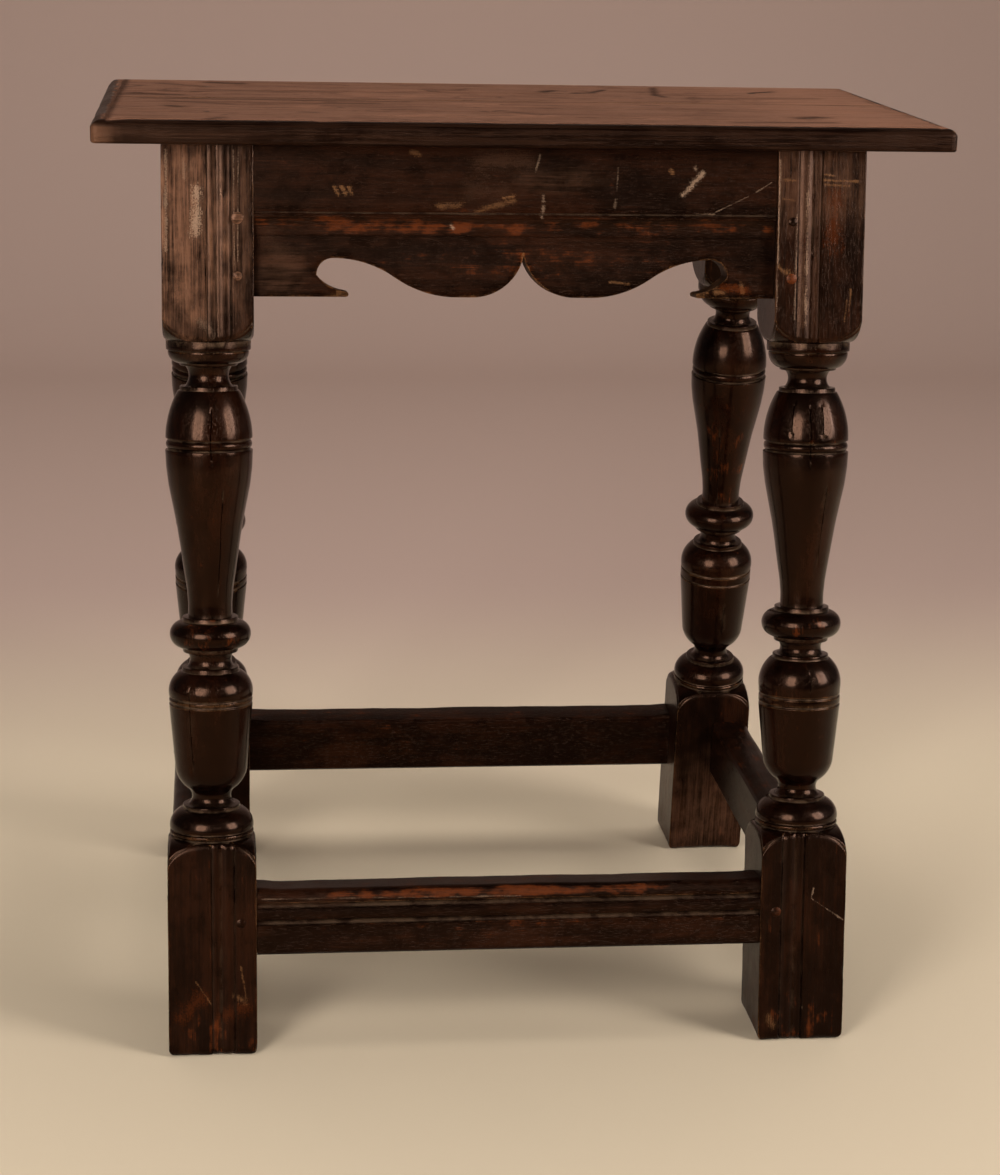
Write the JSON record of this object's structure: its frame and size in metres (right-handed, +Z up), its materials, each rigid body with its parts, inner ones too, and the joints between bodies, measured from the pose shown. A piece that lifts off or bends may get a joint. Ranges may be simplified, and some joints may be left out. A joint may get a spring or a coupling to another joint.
{
  "type": "joint stool",
  "caption": "Joined stool with turned, splayed legs, scalloped frieze rails, low stretchers and a thin overhanging top with a moulded edge.",
  "frame": {"origin": "on the floor, below the middle of the top", "axes": "+X along the length of the stool, +Y towards its back, +Z up"},
  "size_m": [0.482, 0.3644, 0.532],
  "materials": {
    "oak_frame": "dark stained and waxed oak",
    "oak_top": "worn and faded oak with open grain",
    "oak_peg": "riven oak, cut off flush"
  },
  "bodies": {
    "root": {"top_board_front": "oak_top", "top_board_back": "oak_top", "leg_front_left": "oak_frame", "leg_front_right": "oak_frame", "leg_back_left": "oak_frame", "leg_back_right": "oak_frame", "rail_front": "oak_frame", "rail_back": "oak_frame", "rail_left": "oak_frame", "rail_right": "oak_frame", "stretcher_front": "oak_frame", "stretcher_back": "oak_frame", "stretcher_left": "oak_frame", "stretcher_right": "oak_frame", "pegs_top": "oak_peg", "pegs_rail_front": "oak_peg", "pegs_rail_back": "oak_peg", "pegs_rail_left": "oak_peg", "pegs_rail_right": "oak_peg", "pegs_stretcher_front": "oak_peg", "pegs_stretcher_back": "oak_peg", "pegs_stretcher_left": "oak_peg", "pegs_stretcher_right": "oak_peg"}
  },
  "joints": []
}
